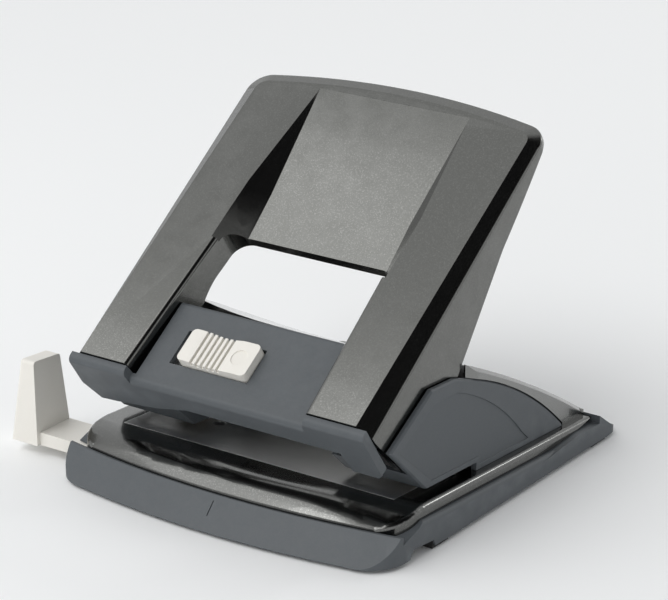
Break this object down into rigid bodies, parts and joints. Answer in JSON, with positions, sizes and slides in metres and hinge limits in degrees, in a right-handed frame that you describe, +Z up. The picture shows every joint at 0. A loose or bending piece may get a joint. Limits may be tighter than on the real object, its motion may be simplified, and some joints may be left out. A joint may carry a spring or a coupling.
{
  "type": "two-hole paper punch",
  "caption": "Desk paper punch with a raised lever handle over two punches, a tilted paper table, a sliding paper stop, a handle lock and a hinged chip tray.",
  "frame": {"origin": "on the desk, under the middle of the outer box with the paper stop at its rest place, 12.35 mm to the left of the punch's own middle plane", "axes": "+Z up, -Y towards the user and the paper, +X to the user's right"},
  "size_m": [0.1484, 0.1386, 0.1101],
  "materials": {
    "housing_grey": "fine matte moulded grain, blue-grey",
    "table_black": "polished black",
    "shell_grey": "satin metallic grey lacquer with fine flake",
    "plate_steel": "pressed sheet, brushed and nickelled",
    "tool_steel": "turned and hardened",
    "bush_brass": "turned",
    "white_plastic": "off-white, lightly satin",
    "inner_plastic": "dark moulded plastic",
    "foot_rubber": "black rubber"
  },
  "bodies": {
    "base": {"base_housing": "housing_grey", "paper_table": "table_black", "die_plate": "plate_steel", "punch_frame_left": "plate_steel", "punch_frame_right": "plate_steel", "guide_bush_left": "bush_brass", "guide_bush_right": "bush_brass", "return_spring_left": "tool_steel", "return_spring_right": "tool_steel", "hinge_pin_left": "tool_steel", "hinge_pin_right": "tool_steel", "hinge_clips": "tool_steel", "side_housing_left": "housing_grey", "side_housing_right": "housing_grey", "lock_catch": "plate_steel", "rear_cover": "table_black", "tray_hinge_pin": "tool_steel", "rubber_feet": "foot_rubber", "frame_screws": "tool_steel", "cover_screws": "tool_steel"},
    "handle": {"handle_shell": "shell_grey", "handle_underframe": "housing_grey", "press_lever_left": "plate_steel", "press_lever_right": "plate_steel", "press_rollers": "tool_steel", "handle_screws": "tool_steel"},
    "punch_left": {"punch_pin_left": "tool_steel", "punch_washer_left": "tool_steel"},
    "punch_right": {"punch_pin_right": "tool_steel", "punch_washer_right": "tool_steel"},
    "lock": {"lock_slider": "white_plastic", "lock_bolt": "inner_plastic"},
    "tray": {"chip_tray": "inner_plastic"},
    "stop": {"paper_guide": "white_plastic"}
  },
  "joints": [
    {"name": "handle_press", "type": "hinge", "parent": "base", "child": "handle", "pos_m": [0.01235, -0.03735, 0.03089], "axis": [-1, 0, 0], "range_deg": [0, 30], "stiffness_Nm_per_rad": 0.3, "springref_deg": -20.05},
    {"name": "punch_left_slide", "type": "slide", "parent": "base", "child": "punch_left", "axis": [0, -0.0523, -0.9986], "range_m": [0, 0.0104], "deforming": ["return_spring_left"]},
    {"name": "punch_right_slide", "type": "slide", "parent": "base", "child": "punch_right", "axis": [0, -0.0523, -0.9986], "range_m": [0, 0.0104], "deforming": ["return_spring_right"]},
    {"name": "lock_slide", "type": "slide", "parent": "handle", "child": "lock", "axis": [-1, 0, 0], "range_m": [0, 0.003]},
    {"name": "stop_slide", "type": "slide", "parent": "base", "child": "stop", "axis": [-1, 0, 0], "range_m": [-0.0135, 0.0728]},
    {"name": "tray_open", "type": "hinge", "parent": "base", "child": "tray", "pos_m": [0.01235, 0.0598, 0.0031], "axis": [1, 0, 0], "range_deg": [0, 60]}
  ],
  "couplings": [
    {"joint": "punch_left_slide", "follows": "handle_press", "m_per_rad": 0.01967},
    {"joint": "punch_right_slide", "follows": "handle_press", "m_per_rad": 0.01967}
  ]
}
